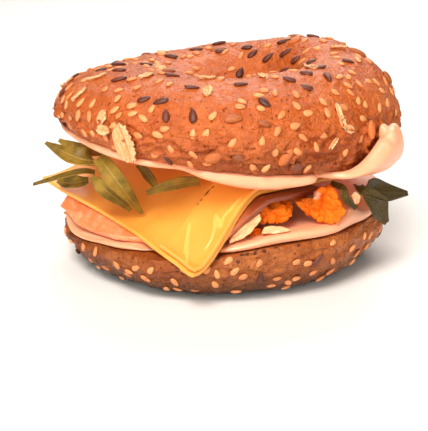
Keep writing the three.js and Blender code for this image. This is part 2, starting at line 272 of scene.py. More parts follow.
# Moves each point of a shape out along its normal
def pushOut(shape, relief):
    shape.normal_update()
    pushes = [vert.normal * relief(vert.co, vert.normal) for vert in shape.verts]
    for vert, push in zip(shape.verts, pushes):
        vert.co += push


# A point of a surface of two shares, moved out along the normal there
def offset(surface, u, v, height):
    step = 1e-3
    uEdge = surface(u + step, v) - surface(u - step, v)
    vEdge = surface(u, v + step) - surface(u, v - step)
    return surface(u, v) + uEdge.cross(vEdge).normalized() * height


# A closed sheet on a surface, or lifted off it, with rounded edges
def sheet(surface, steps, thickness, rounding, lift=0):
    shape = bmesh.new()
    bmesh.ops.create_grid(shape, x_segments=steps[0], y_segments=steps[1], size=0.5, calc_uvs=True)
    uvs = shape.loops.layers.uv.verify()
    for face in shape.faces:
        for loop in face.loops:
            loop[uvs].uv = (loop.vert.co.x + 0.5, loop.vert.co.y + 0.5)
    for vert in shape.verts:
        vert.co = offset(surface, vert.co.x + 0.5, vert.co.y + 0.5, lift)
    shape.normal_update()
    bmesh.ops.solidify(shape, geom=shape.faces[:] + shape.edges[:] + shape.verts[:], thickness=-thickness)
    bmesh.ops.recalc_face_normals(shape, faces=shape.faces)
    rim = [edge for edge in shape.edges if edge.is_manifold and edge.calc_face_angle() > sharpAngle]
    how = {"affect": "EDGES", "segments": 2, "profile": 0.5, "clamp_overlap": True, "material": -1}
    bmesh.ops.bevel(shape, geom=rim, offset=rounding, **how)
    return shape


# The cut faces of the bread: height on the axis, slope to the right and slope to the back,
# with what each bearing adds at the rim
cuts = {"lower": (17, 0.043, 0.0745), "upper": (37.8, -0.1, -0.036)}


def cutLevel(half, x, y, atRim):
    level, right, back = cuts[half]
    return level + right * x + back * y + (x * x + y * y) / rimReach**2 * atRim


def lowerCut(x, y):
    atRim = 2.7 * hill(turnBetween(x, y, -68), 25) - 2.6 * hill(turnBetween(x, y, -157), 20)
    return cutLevel("lower", x, y, atRim)


def upperCut(x, y):
    atRim = 1.2 * hill(turnBetween(x, y, -150), 30) + 1.6 * hill(turnBetween(x, y, -18), 30)
    return cutLevel("upper", x, y, atRim)


# The hole lies right of the middle of the ring
def holeShift(reach):
    return 6 * (1 - smooth(10, 44, reach))


# The crust: smooth lumps, blisters and, low at the front, wrinkles baked into ledges
# In each half's tones the colour for the foot is painted shade, where the crust faces down
crust = {
    "upper": {
        "golden": "#c25c20", "pale": "#d57032", "toasted": "#a54616", "brown": "#702c0b", "footShade": "#a54616",
    },
    "lower": {
        "golden": "#ac5a20", "pale": "#cc783a", "toasted": "#83350a", "brown": "#5a250a", "footShade": "#38230f",
    },
}


def crustMaterial(half):
    recipe = Recipe(half + "Crust")
    tones = crust[half]
    broad = recipe.ramp(recipe.grain(14, 3), (0.35, 0), (0.68, 1))
    mottle = recipe.ramp(recipe.grain(3.2, 4, 0.6), (0.42, 0), (0.7, 1))
    fine = recipe.grain(0.7, 3, 0.6)
    pores = recipe.ramp(recipe.cells(1.9), (0.04, 1), (0.2, 0))
    cracks = recipe.ramp(recipe.cells(2.6, "DISTANCE_TO_EDGE", recipe.bent(2.6, 1.4)), (0, 1), (0.12, 0))
    # Painted shade: the crust darkens towards the foot
    underside = recipe.ramp(recipe.axisOf("Z") * 0.1, (0.1, 1), (0.95, 0))
    colour = recipe.layered(
        tones["golden"],
        (broad * 0.8, tones["pale"]),
        (mottle * 0.6, tones["toasted"]),
        # Partly toasting, partly painted shade, from the mark laid on each half
        (recipe.attribute("toast"), tones["brown"]),
        (pores * 0.45, tones["brown"]),
        (cracks * 0.08, tones["brown"]),
        (underside * 0.95, tones["footShade"]),
    )
    gloss = 0.56 - 0.26 * recipe.grain(5, 2) - 0.14 * fine
    relief = fine * 0.5 + recipe.grain(1.6, 3, 0.6) * 0.9 - pores * 0.7 - cracks * 0.15
    return recipe.finish(colour, gloss, relief, 0.8, (0.06, 0.0015), Specular_IOR_Level=0.34)


def blistered(point, roughness):
    lumps = 0.45 * noise.noise(point / 8) + 0.2 * noise.noise(point / 3.5)
    middles, _ = noise.voronoi(point / 2.7)
    domes = max(0, 1 - (middles[0] / 0.55) ** 2) * max(0, noise.noise(point / 5) + 0.25)
    flat = Vector((point.x / 6, point.y / 6, point.z / 2.1))
    folds = (1 - abs(noise.noise(flat))) ** 4
    small = noise.noise(point / 1.3)
    return lumps + roughness * (1.2 * domes + 1.9 * folds + 0.35 * small) + 0.1 * small


# A section is a row of reaches from the axis and heights over the foot or the cut
upperBread = {
    "section": (
        (50.4, 0), (52.4, 4), (52.9, 9), (51.4, 15), (47, 20), (39.5, 23.6),
        (31, 24.5), (22.5, 22.6), (15.8, 17.5), (11.4, 10.5), (8.9, 4.5), (8.4, 0),
    ),
    "height": 24.5,
    "crest": 62.2,
    "crustStations": 128, "cutStations": 14, "bearings": 520,
}


def upperSkin(reach, level, bearing):
    swell = 0.7 * math.sin(3 * bearing + 1.1) + 0.45 * math.sin(5 * bearing + 2.3)
    ripple = 0.3 * math.sin(11 * bearing + 0.4 * level) * smooth(1, 6, level)
    out = reach + (swell + ripple) * smooth(22, 50, reach)
    x = out * math.cos(bearing) + 0.4 + holeShift(reach)
    y = out * math.sin(bearing)
    crest = upperBread["crest"] + 2.8 * math.cos(bearing) + 1.3 * math.cos(2 * bearing - math.radians(80))
    crease = 4 * hill(turnBetween(x - 6, y, 72), 20) * hill(reach - 14, 6)
    lump = 0.5 * math.sin(4 * bearing - 0.5) * hill(reach - 30, 12)
    top = upperCut(x, y)
    return Vector((x, y, top + (level / upperBread["height"]) * (crest + lump - crease - top)))


def upperPlace(part, bearing):
    crustShare = upperBread["crustStations"] / (upperBread["crustStations"] + upperBread["cutStations"])
    if part <= crustShare:
        reach, level = onRow(upperBread["section"], part / crustShare)
    else:
        back = (part - crustShare) / (1 - crustShare)
        reach = mixed(upperBread["section"][-1][0], upperBread["section"][0][0], back)
        level = 0
    return upperSkin(reach, level, bearing)


def upperRelief(point, normal):
    cut = smooth(-0.75, -0.35, normal.z)  # the cut face stays smooth
    front = smooth(15, -15, point.y) * smooth(56, 45, point.z)
    return cut * (blistered(point, 0.18 + 0.75 * front) - 0.45)


def makeUpperBread():
    stations = upperBread["crustStations"] + upperBread["cutStations"]
    shape = turned(stations, upperBread["bearings"], upperPlace)
    pushOut(shape, upperRelief)
    # This mark is partly toasting and partly painted shade: the crust darkens just above the cut towards the
    # rim, less at the left
    toast = shape.verts.layers.float.new("toast")
    for vert in shape.verts:
        rim = hill(vert.co.z - upperCut(vert.co.x, vert.co.y) - 3, 7) * smooth(25, 45, vert.co.xy.length)
        patch = 0.5 + 0.5 * noise.noise(vert.co / 6)
        vert[toast] = (0.15 + 0.55 * patch) * rim * (0.35 + 0.65 * smooth(-35, 5, vert.co.x))
    return shape


lowerBread = {
    "rim": ((40, 0), (45.4, 2), (49.6, 5.8), (51.6, 10), (50.6, 12.5)),
    "core": ((8.6, 12.5), (8.3, 7), (10, 3), (13.5, 0.7), (18, 0)),
    "spans": (0.3, 0.1, 0.1, 0.1, 0.1, 0.3),  # shares of the cut, the hole and the foot
    "height": 12.5,
    "rimStations": 56, "faceStations": 70, "bearings": 440,
}


def lowerSkin(reach, level, bearing):
    swell = 0.5 * math.sin(3 * bearing + 0.6) + 0.4 * math.sin(7 * bearing + 2.1)
    left = hill(turnBetween(math.cos(bearing), math.sin(bearing), -165), 25)
    drawnIn = 1.6 * left * math.sin(math.pi * level / lowerBread["height"])
    out = reach + (swell - drawnIn) * smooth(20, 50, reach)
    x = out * math.cos(bearing) + holeShift(reach)
    y = out * math.sin(bearing)
    return Vector((x, y, (level / lowerBread["height"]) * lowerCut(x, y)))


def lowerPlace(part, bearing):
    rimShare = lowerBread["rimStations"] / (lowerBread["rimStations"] + lowerBread["faceStations"])
    if part <= rimShare:
        return lowerSkin(*onRow(lowerBread["rim"], part / rimShare), bearing)
    part = (part - rimShare) / (1 - rimShare)
    corners = [lowerBread["rim"][-1], *lowerBread["core"], lowerBread["rim"][0]]
    for start, end, span in zip(corners, corners[1:], lowerBread["spans"]):
        if part <= span + 1e-6:
            share = part / span
            return lowerSkin(mixed(start[0], end[0], share), mixed(start[1], end[1], share), bearing)
        part -= span
    return lowerSkin(*corners[-1], bearing)


def lowerRelief(point, normal):
    still = smooth(0.85, 0.5, normal.z) * smooth(0.2, 3, point.z)
    return still * (blistered(point, 0.45) - 0.4)


def makeLowerBread():
    stations = lowerBread["rimStations"] + lowerBread["faceStations"]
    shape = turned(stations, lowerBread["bearings"], lowerPlace)
    pushOut(shape, lowerRelief)
    # This mark is painted shade: the crust is darker low down, at the left and at the front, in patches
    toast = shape.verts.layers.float.new("toast")
    for vert in shape.verts:
        patch = 0.5 + 0.5 * noise.noise(vert.co / 7)
        left = hill(turnBetween(vert.co.x, vert.co.y, -165), 40)
        front = hill(turnBetween(vert.co.x, vert.co.y, -95), 30)
        vert[toast] = (0.4 * smooth(14, 4, vert.co.z) + 1.1 * left + 0.4 * front) * patch
    return shape


# Both slices lie on one surface, measured in stations from the near tip along the left edge
# and in distances across from it. The left edge lies low and the surface climbs to the right
cheese = {
    "tip": Vector((-10, -57)),
    "along": Vector((-0.642, 0.767)),
    "across": Vector((0.767, 0.642)),
    "leftEdge": ((0, 11.4), (6, 12.9), (13.4, 14.3), (24, 16.8), (42.6, 19.4), (64, 21.3), (75, 22.8)),
    "thickness": 1.2,
    "lowerSteps": (140, 150),
    "lowerRounding": 0.25,
    "upperSteps": (150, 56),  # finer along, the rounding would fold over itself at the tip
    "upperRounding": 0.12,
    # The wrinkle colour is a painted highlight and the pore colour is painted shade
    "colour": "#fdae48", "deep": "#f2932c", "wrinkle": "#ffd976", "pore": "#6e3208",
}


def edgeLevel(station):
    stations = cheese["leftEdge"]
    inside = min(max(station, 0), stations[-1][0])
    i = next(k for k in range(1, len(stations)) if stations[k][0] >= inside)
    share = (inside - stations[i - 1][0]) / (stations[i][0] - stations[i - 1][0])
    return onRow(stations, (i - 1 + share) / (len(stations) - 1))[1]


def cheeseLevel(station, across):
    x, y = cheese["tip"] + cheese["along"] * station + cheese["across"] * across
    rest = 30.8 - 0.03 * (y + 40) - 0.02 * (x + 10)
    low = edgeLevel(station)
    rise = smooth(1.5, 26 + 0.12 * max(station, 0), across)
    wave = 0.5 * math.sin(station / 6) * smooth(8, 16, across) * smooth(6, 20, station)
    return Vector((x, y, low + rise * (rest - low) + wave))


def onSlice(x, y):
    away = Vector((x, y)) - cheese["tip"]
    return away.dot(cheese["along"]), away.dot(cheese["across"])


# The ham's left edge hangs out from under the cheese and sags from its bend on
def hamEdge(station):
    return 10 - 14 * smooth(12, 30, station) + 3.5 * smooth(46, 64, station)


def hamLevel(station, across):
    bend = 1.5 + 3 * smooth(44, 60, station)
    hanging = min(max((bend - across) / max(bend - hamEdge(station), 1), 0), 1)
    point = cheeseLevel(station, across)
    point.z -= 4 * smooth(24, 46, station) * hanging**2 * (1.6 - 0.6 * hanging)
    return point


def underHam(x, y):
    station, across = onSlice(x, y)
    inside = max(across, min(hamEdge(station), 0))
    level = hamLevel(station, inside).z
    slope = hamLevel(station, inside + 1).z - level
    return level - (ham["thickness"] + 2 * gap) * math.hypot(1, slope)


def cheeseMaterial():
    recipe = Recipe("slicedCheese")
    broad = recipe.ramp(recipe.grain(22, 2), (0.35, 0), (0.7, 1))
    fine = recipe.grain(0.5, 2)
    wrinkle = recipe.attribute("wrinkle")
    colour = recipe.layered(
        cheese["colour"],
        (broad * 0.5, cheese["deep"]),
        # Painted highlight: paler along the raised wrinkles
        (wrinkle * 0.5, cheese["wrinkle"]),
        # Painted shade: dark in the sunken pores
        (recipe.attribute("pore"), cheese["pore"]),
    )
    gloss = 0.36 + 0.14 * recipe.grain(6, 2) - 0.22 * wrinkle
    relief = fine * 0.15 + recipe.grain(4, 2) * 0.6
    scatter = (0.25, 0.003, (1, 0.55, 0.15))
    return recipe.finish(colour, gloss, relief, 0.15, scatter, Coat_Weight=0.15, Coat_Roughness=0.15)


# The part of the surface that each slice covers
def lowerSlice(u, v):
    return cheeseLevel(76.5 * v - 1.5, 68 * u)


def upperSlice(u, v):
    across = mixed(0.5, 48, u)
    station = mixed(-2, 14 + 20 * smooth(20, 50, across), v)
    return cheeseLevel(station, across)


# Wrinkles and pores of the upper slice, as stations and distances across. A pore also has its
# half length across and along
wrinkles = [
    ((11.5, 9.5), (8.5, 6.6), (5, 3.6), (2, 1)),
    ((11, 8.6), (8, 5.4), (5.6, 3.2)),
    ((0, 18.5), (0.6, 15.6), (1.5, 14), (0.6, 12.2)),
    ((4.5, 13.5), (2, 12.8), (0.2, 12)),
    ((4, 12.4), (2.2, 11.2), (1, 9), (1, 7)),
    ((3.2, 12.6), (1.6, 11.6), (0.4, 11.8)),
]
wrinkleWidth = 0.42
pores = [(13.5, 17.8, 0.9, 0.4), (13.6, 15.6, 0.35, 0.3), (13.6, 14.4, 0.3, 0.25), (13.2, 19.6, 0.4, 0.3)]


def wrinkled(x, y):
    spot = Vector(onSlice(x, y))
    height = 0
    for line in wrinkles:
        for start, end in zip(line, line[1:]):
            nearest, share = geometry.intersect_point_line(spot, Vector(start), Vector(end))
            nearest = mixed(Vector(start), Vector(end), min(max(share, 0), 1))
            height = max(height, hill((spot - nearest.xy).length, wrinkleWidth))
    return height


def porous(x, y):
    station, across = onSlice(x, y)
    return max(hill(station - s, short) * hill(across - a, long) for s, a, long, short in pores)


# Raises the wrinkles and sinks the pores, and marks them for a painted highlight on the wrinkles and painted
# shade in the pores
def dressSlice(shape):
    wrinkle = shape.verts.layers.float.new("wrinkle")
    pore = shape.verts.layers.float.new("pore")
    shape.normal_update()
    for vert in shape.verts:
        if vert.normal.z < 0.2:
            continue
        vert[wrinkle] = wrinkled(vert.co.x, vert.co.y)
        vert[pore] = min(2 * porous(vert.co.x, vert.co.y), 1)
        vert.co += vert.normal * (0.3 * vert[wrinkle] - 0.5 * vert[pore])


# Ham under the cheese, showing along both of its front edges
ham = {
    "thickness": 1.5, "steps": (100, 150), "rounding": 0.3,
    "colour": "#f08c54", "fat": "#fbb98e", "deep": "#dc6a38", "shaded": "#7c2c0c",
}


def hamMaterial():
    recipe = Recipe("slicedHam")
    fibres = recipe.grain(2.4, 4, 0.65, recipe.stretched((1, 0.5, 2)))
    marbling = recipe.ramp(fibres, (0.45, 0), (0.62, 1))
    deep = recipe.ramp(recipe.grain(9, 2), (0.4, 0), (0.7, 1))
    right = recipe.ramp(recipe.axisOf("X") * 0.02 + 0.2, (0.15, 0), (0.35, 1))
    colour = recipe.layered(
        ham["colour"], (marbling * 0.6, ham["fat"]), (deep * 0.5, ham["deep"]), (right * 0.92, ham["shaded"])
    )
    gloss = 0.3 + 0.25 * fibres
    return recipe.finish(colour, gloss, fibres, 0.25, (0.25, 0.002), Coat_Weight=0.2)


def hamSurface(u, v):
    across = mixed(hamEdge(64 * v), 46, u)
    end = 64 + 6 * smooth(4, 20, across)
    return hamLevel(mixed(0.5 - 6 * smooth(11, 22, across), end, v), across)


# Soft cheese: a thick layer on the lower half and one pressed out under the upper half
cream = {"colour": "#fbaf86", "shadow": "#f5a077"}


def creamMaterial():
    recipe = Recipe("softCheese")
    broad = recipe.ramp(recipe.grain(7, 3), (0.4, 0), (0.7, 1))
    colour = recipe.blend(broad * 0.45, cream["colour"], cream["shadow"])
    gloss = 0.3 + 0.2 * recipe.grain(3, 2)
    relief = recipe.grain(2.6, 3) * 0.7 + recipe.grain(0.7, 2) * 0.12
    scatter = (0.35, 0.003, (1, 0.7, 0.45))
    return recipe.finish(colour, gloss, relief, 0.3, scatter, Coat_Weight=0.15, Coat_Roughness=0.2)


# A rim is a row of reaches from the axis and shares of the thickness, from the underside's middle
# round to the top's
lowerCream = {
    "rim": (
        (0, 0), (12, 0), (28, 0), (44, 0), (49.2, 0.1), (50.2, 0.35), (50.3, 0.65),
        (49.3, 0.92), (46, 1), (36, 1), (24, 1), (12, 1), (0, 1),
    ),
    "thickness": 1.7,
    "underSlicesFrom": -7,  # the station from which the slices lie on it
    "stations": 97, "bearings": 300,
}


def lowerCreamPlace(share, bearing):
    reach, part = onRow(lowerCream["rim"], share)
    drawnIn = 6 * hill(turnBetween(math.cos(bearing), math.sin(bearing), -108), 16)
    wobble = 0.5 * math.sin(6 * bearing + 1) + 0.4 * math.sin(11 * bearing)
    out = max(reach + (reach / rimReach) * (wobble - drawnIn), 0)
    x = out * math.cos(bearing)
    y = out * math.sin(bearing)
    floor = lowerCut(x, y) + gap
    right = smooth(-5, 20, x) * smooth(-10, 20, -y)
    thick = lowerCream["thickness"] + 1.6 * right + 3.4 * hill(x - 38, 5) * hill(y + 33, 6)
    if onSlice(x, y)[0] > lowerCream["underSlicesFrom"]:
        thick = min(thick, max(underHam(x, y), floor + 2 * gap) - floor)
    return Vector((x, y, floor + part * thick))


# The fold moves each point of its rim out and up
upperCream = {
    "rim": (
        (0, 0), (14, 0), (30, 0), (43, 0), (48, 0.02), (50.4, 0.2), (51.2, 0.5),
        (50.8, 0.85), (50.2, 0.95), (49.4, 1), (46, 1), (32, 1), (16, 1), (0, 1),
    ),
    "fold": (
        (0, 0), (0, 0), (0, 0), (0, 0), (5.2, -0.5), (7, 3), (8, 8),
        (6.6, 12.5), (4.3, 11), (3.6, 0), (0, 0), (0, 0), (0, 0), (0, 0),
    ),
    "foldBearing": -30,
    "thickness": 1.8,
    "stations": 118, "bearings": 320,
}


def upperCreamPlace(share, step):
    reach, part = onRow(upperCream["rim"], share)
    foldOut, foldUp = onRow(upperCream["fold"], share)
    foldBearing = upperCream["foldBearing"]
    bearing = step - 0.55 * math.sin(step - math.radians(foldBearing))
    ax = math.cos(bearing)
    ay = math.sin(bearing)
    fromFold = turnBetween(ax, ay, foldBearing)
    fold = hill(fromFold, 15 if fromFold < 0 else 8)
    lens = hill(turnBetween(ax, ay, -80), 20)
    drawnIn = 4 * hill(turnBetween(ax, ay, -106), 6) + 5 * hill(turnBetween(ax, ay, -56), 4)
    out = max(reach + (reach / rimReach) * (0.6 * lens - drawnIn) + math.sqrt(fold) * foldOut, 0)
    x = out * ax + 0.4
    y = out * ay
    left = 1.2 * hill(turnBetween(ax, ay, -132), 20)
    thick = upperCream["thickness"] + smooth(30, 48, reach) * (3 * lens + left)
    ceiling = upperCut(x, y) - gap
    return Vector((x, y, ceiling - (1 - part) * thick + fold**1.7 * foldUp))


# The knob and the small peak at the top of the fold: the pixel each shows at, its radius and the
# move of its middle
foldMoves = [((389.5, 133.5), 3, (0.3, -2.6, 0.7)), ((384, 132), 2, (-1.3, -0.8, 2.2))]


def dressFold(shape):
    tree = BVHTree.FromBMesh(shape)
    for pixel, radius, move in foldMoves:
        eye, ray, _, _ = viewRay(*pixel)
        centre = tree.ray_cast(eye, ray)[0]
        for vert in shape.verts:
            away = (vert.co - centre).length / radius
            vert.co += Vector(move) * math.sqrt(max(1 - away * away, 0))


# Boiled egg, torn into chunks: the outline of each one's near face in the photograph, where that
# stands, how deep it goes back, by how many pixels it rises there and how far it is hollowed
eggWhites = {
    "egg_white_slab": {
        "outline": [
            (229, 244), (231, 237), (239, 226), (249, 218), (259, 214), (261.5, 219), (257, 226),
            (251, 233), (241, 240),
        ],
        "front": -48, "deep": 3.6, "rise": 2, "bowl": 0.2,
    },
    "egg_white_front": {
        "outline": [
            (262, 233.5), (264, 228), (271, 226), (279, 226.5), (289, 228.5), (290, 231), (282, 233),
            (272, 234.5),
        ],
        "front": -46.6, "deep": 2.4, "rise": 1, "bowl": 0.1,
    },
    "egg_white_side": {
        "outline": [(351, 196), (354, 192), (358, 192.5), (360.5, 197), (359, 203), (355, 205.5)],
        "front": -35.4, "deep": 2.6, "rise": 0, "bowl": 0,
    },
}
eggYolks = {
    "egg_yolk_front": {
        "outline": [
            (259, 211), (264, 209), (270, 210), (280, 210), (291, 212), (295, 216.5), (288, 220),
            (281, 224), (276, 225.6), (268, 225), (261, 224),
        ],
        "front": -43.8, "deep": 6.6, "rise": 15, "bowl": 0.3,
    },
    "egg_yolk_side": {
        "outline": [
            (294, 200), (303, 199), (312, 198), (318, 191), (324.6, 187), (331, 188), (336, 193),
            (339, 201), (346, 210), (344, 216), (341, 221.5), (331, 225), (319, 224), (307, 215),
            (298, 207),
        ],
        "front": -40.4, "deep": 7.4, "rise": 3, "bowl": 2.2,
    },
    "egg_crumb": {
        "outline": [(250, 236), (252, 231), (255, 227), (260, 229), (261, 233), (257, 236)],
        "front": -43.6, "deep": 2.4, "rise": 1, "bowl": 0,
    },
}
torn = {
    "rim": ((0, 0), (0.45, 0), (0.8, 0), (0.97, 0.04), (1, 0.2), (0.98, 0.7), (0.8, 1), (0.4, 1), (0, 1)),
    "raggedWhite": 0.25, "raggedYolk": 0.8,
    "whiteBit": (316, 195),  # a scrap of white on the yolk
    "underSlicesFrom": -8,
    "stations": 72, "bearings": 110,
    "white": "#f9bd8a", "whiteShadow": "#f4a468",
    "yolk": "#ee6e00", "yolkDeep": "#dc5000", "yolkCrumb": "#ff900a", "scrap": "#f9b08c",
}


def whiteMaterial():
    recipe = Recipe("eggWhite")
    broad = recipe.ramp(recipe.grain(3, 2), (0.4, 0), (0.7, 1))
    colour = recipe.blend(broad * 0.5, torn["white"], torn["whiteShadow"])
    gloss = 0.3 + 0.15 * recipe.grain(2, 2)
    return recipe.finish(colour, gloss, recipe.grain(1.2, 3), 0.15, (0.35, 0.002), Coat_Weight=0.15)


def yolkMaterial():
    recipe = Recipe("eggYolk")
    broad = recipe.ramp(recipe.grain(2.6, 3), (0.38, 0), (0.66, 1))
    crumbs = recipe.cells(0.55)
    colour = recipe.layered(
        torn["yolk"],
        (broad * 0.7, torn["yolkDeep"]),
        (recipe.ramp(crumbs, (0.1, 0), (0.7, 1)) * 0.3, torn["yolkCrumb"]),
        (recipe.attribute("pale"), torn["scrap"]),
    )
    relief = recipe.grain(0.8, 4, 0.7) + crumbs * 0.6
    gloss = 0.55 + 0.2 * recipe.grain(1, 2)
    return recipe.finish(colour, gloss, relief, 0.35, (0.2, 0.002), Specular_IOR_Level=0.25)


# How far an outline reaches from its middle on a bearing
def outlineReach(outline, middle, bearing):
    far = middle + 100 * Vector((math.cos(bearing), math.sin(bearing)))
    for start, end in zip(outline, outline[1:] + outline[:1]):
        crossing = geometry.intersect_line_line_2d(middle, far, Vector(start), Vector(end))
        if crossing:
            return (crossing - middle).length
    return 0


def crumbled(point):
    clumps, _ = noise.voronoi(point / 3.2)
    grains, _ = noise.voronoi(point / 1.1)
    splits = 1 - smooth(0, 0.22, clumps[1] - clumps[0])
    return 1.1 * noise.noise(point / 3) + 0.7 * (0.5 - clumps[0]) - 0.7 * splits + 0.35 * (0.5 - grains[0])


def makeChunk(facts, ragged):
    outline = facts["outline"]
    middle = sum((Vector(corner) for corner in outline), Vector((0, 0))) / len(outline)
    reaches = {}

    def place(share, bearing):
        reach, depth = onRow(torn["rim"], share)
        if bearing not in reaches:
            reaches[bearing] = outlineReach(outline, middle, bearing)
        column, row = middle + reach * reaches[bearing] * Vector((math.cos(bearing), math.sin(bearing)))
        level = facts["front"] + depth * facts["deep"] + facts["bowl"] * hill(reach, 0.55) * (1 - depth)
        eye, ray, _, _ = viewRay(column, row - facts["rise"] * depth)
        point = eye + ray * ((level - eye.y) / ray.y)
        if onSlice(point.x, point.y)[0] > torn["underSlicesFrom"]:
            point.z = min(point.z, underHam(point.x, point.y) - gap)
        return point

    shape = turned(torn["stations"], torn["bearings"], place)
    pushOut(shape, lambda point, normal: ragged * crumbled(point))
    pale = shape.verts.layers.float.new("pale")
    eye, ray, _, _ = viewRay(*torn["whiteBit"])
    for vert in shape.verts:
        away = (vert.co - geometry.intersect_point_line(vert.co, eye, eye + ray)[0]).length
        vert[pale] = smooth(1.6, 0.8, away + 0.4 * noise.noise(vert.co)) * smooth(-34, -36, vert.co.y)
    return shape


# Rocket leaves and stems: a line of points, half the width at each, and the way the face looks
leaves = {
    "leaf_left_outer": (
        [(-34.9, -20, 34.2), (-38, -26.5, 36.3), (-43.8, -27, 37.7), (-53.4, -20, 40.2)],
        [2, 3.2, 3, 0.5], (-0.2, -0.5, 0.85),
    ),
    "leaf_left_front": (
        [(-36.4, -30.5, 38.4), (-32.8, -35.5, 35.3), (-29.2, -36.5, 30.5), (-24.2, -31, 21.4)],
        [2, 2.7, 2.2, 0.5], (-0.3, -0.8, 0.5),
    ),
    "leaf_left_blade": (
        [(-38.7, -30, 32.3), (-36.2, -32.5, 30.5), (-32.1, -33, 27.2), (-27.5, -30.5, 22.2)],
        [0.8, 1.8, 1.8, 0.5], (-0.3, -0.8, 0.5),
    ),
    "leaf_left_thin": (
        [(-39.3, -16, 30), (-42.5, -17, 30.6), (-49.6, -15, 28.6), (-59.3, -11, 24.7)],
        [0.7, 0.9, 0.8, 0.5], (-0.3, -0.7, 0.7),
    ),
    "leaf_left_low": (
        [(-41.8, -14, 26.9), (-45, -13, 25.9), (-48.7, -11, 25.2), (-52.1, -9, 25.1)],
        [1, 2, 1.8, 0.5], (-0.3, -0.7, 0.7),
    ),
    "leaf_left_back": (
        [(-35, -17, 36.4), (-41, -20, 37.4), (-46, -19, 39), (-50, -16, 40)],
        [1, 1.6, 1.4, 0.5], (-0.5, -0.6, 0.6),
    ),
    "stem_left": (
        [(-25.6, -24, 34.6), (-23.4, -26, 33), (-21.6, -27, 30.5), (-20.2, -26, 27.8)],
        [1.1, 1.3, 1.2, 0.8], (-0.2, -1, 0.2),
    ),
    "stem_middle": (
        [(-22.5, -33, 28), (-18.6, -35, 30.4), (-12.8, -35, 31.8), (-7.1, -33, 32)],
        [0.7, 1.2, 1.6, 1.2], (-0.1, -1, 0.3),
    ),
    "stem_right": (
        [(31, -31, 30.6), (34, -37, 31), (34.6, -40, 28.6), (38, -38, 25.2)],
        [0.7, 0.9, 0.9, 0.6], (0.3, -1, 0.2),
    ),
}
# The leaf at the right, in two lobes
rightLobes = [
    (
        [(39.4, -29, 29.4), (41, -34.6, 30.2), (46, -30.5, 28), (55.6, -21, 24.8)],
        [1.5, 2.4, 3.4, 0.6], (0.2, -0.8, 0.55),
    ),
    (
        [(40.4, -35, 30.2), (43, -35.6, 27.4), (45.4, -33, 23.2), (48.2, -30.6, 18.4)],
        [1.4, 2.6, 3.2, 0.8], (0.35, -0.9, 0.25),
    ),
]
leaf = {
    "thickness": 0.45, "steps": (60, 14), "rounding": 0.1,
    "dark": "#6b5417", "light": "#9c7a26", "veins": "#b89a4a", "rib": "#bfa252", "shaded": "#3c2e0a",
}


def leafMaterial():
    recipe = Recipe("rocketLeaf")
    uv = recipe.node("TexCoord", output="UV")
    across = recipe.node("SeparateXYZ", {}, {"Vector": uv}, "Y")
    fromRib = recipe.node("Math", {"operation": "ABSOLUTE"}, {0: across - 0.5})
    rib = recipe.ramp(fromRib, (0.02, 1), (0.07, 0))
    veinSpace = recipe.node("Mapping", {}, {"Vector": uv, "Scale": (9, 4, 1)})
    veins = recipe.ramp(recipe.cells(1, "DISTANCE_TO_EDGE", veinSpace), (0.01, 1), (0.07, 0))
    broad = recipe.ramp(recipe.grain(5, 3), (0.38, 0), (0.68, 1))
    right = recipe.ramp(recipe.axisOf("X") * 0.01, (0.25, 0), (0.36, 1))
    colour = recipe.layered(
        leaf["dark"],
        (broad, leaf["light"]),
        (veins * 0.14, leaf["veins"]),
        (rib * 0.35, leaf["rib"]),
        (right * 0.9, leaf["shaded"]),
    )
    relief = recipe.grain(1.2, 3) * 0.8 - veins * 0.4 + rib * 0.8
    gloss = 0.42 + 0.15 * broad
    return recipe.finish(colour, gloss, relief, 0.2, (0.1, 0.001), Specular_IOR_Level=0.3)


def leafSurface(line, widths, facing):
    face = Vector(facing)
    halves = [(width, 0, 0) for width in widths]

    def surface(u, v):
        ahead = (along(line, min(u + 0.01, 1)) - along(line, max(u - 0.01, 0))).normalized()
        side = face.cross(ahead).normalized()
        up = ahead.cross(side)
        across = 2 * v - 1
        wave = 0.5 * math.sin(9 * u + 3 * across) * abs(across)
        width = along(halves, u).x
        lift = width * 0.25 * across * across + wave * min(1, width / 3)
        return along(line, u) - side * across * width + up * lift

    return surface


# The eye, the ray through a pixel of the photograph, and the view's right and up
def viewRay(column, row):
    tilt = picture["elevation"]
    forward = Vector((0, math.cos(tilt), -math.sin(tilt)))
    up = Vector((0, math.sin(tilt), math.cos(tilt)))
    right = Vector((1, 0, 0))
    eye = picture["target"] - forward * picture["distance"]
    dx = column - picture["middle"][0]
    dy = picture["middle"][1] - row
    return eye, (forward * picture["focal"] + right * dx + up * dy).normalized(), right, up


# Spots of toppings from the columns and rows they show at and the turns of their long axes
def spotsSeen(crustTree, seen):
    spots = []
    for column, row, turn in seen:
        eye, ray, right, up = viewRay(column, row)
        point, normal, _, _ = crustTree.ray_cast(eye, ray)
        if point is None:
            continue
        angle = math.radians(turn)
        spots.append((point, normal, right * math.cos(angle) + up * math.sin(angle)))
    return spots


# Spots strewn over a band of one half, clear of those taken and thinner towards the axis
def spotsStrewn(half, band, count, spacing, taken, roll):
    spots = []
    for _ in range(count * strewing["tries"]):
        if len(spots) == count:
            break
        start = half["place"](mixed(*band, roll.random()), roll.uniform(-math.pi, math.pi))
        if roll.random() > start.xy.length / strewing["fullFrom"] or half["isBare"](start):
            continue
        point, normal, _, _ = half["tree"].find_nearest(start)
        if any((point - other).length < spacing for other in taken):
            continue
        taken.append(point)
        spots.append((point, normal, Vector((roll.uniform(-1, 1), roll.uniform(-1, 1), roll.uniform(-1, 1)))))
    return spots


def standing(point, normal, heading, size, sink):
    side = normal.cross(heading).normalized()
    ahead = side.cross(normal)
    axes = Matrix((ahead * size[0], side * size[1], normal * size[2])).transposed()
    return Matrix.Translation(point + normal * sink) @ axes.to_4x4()


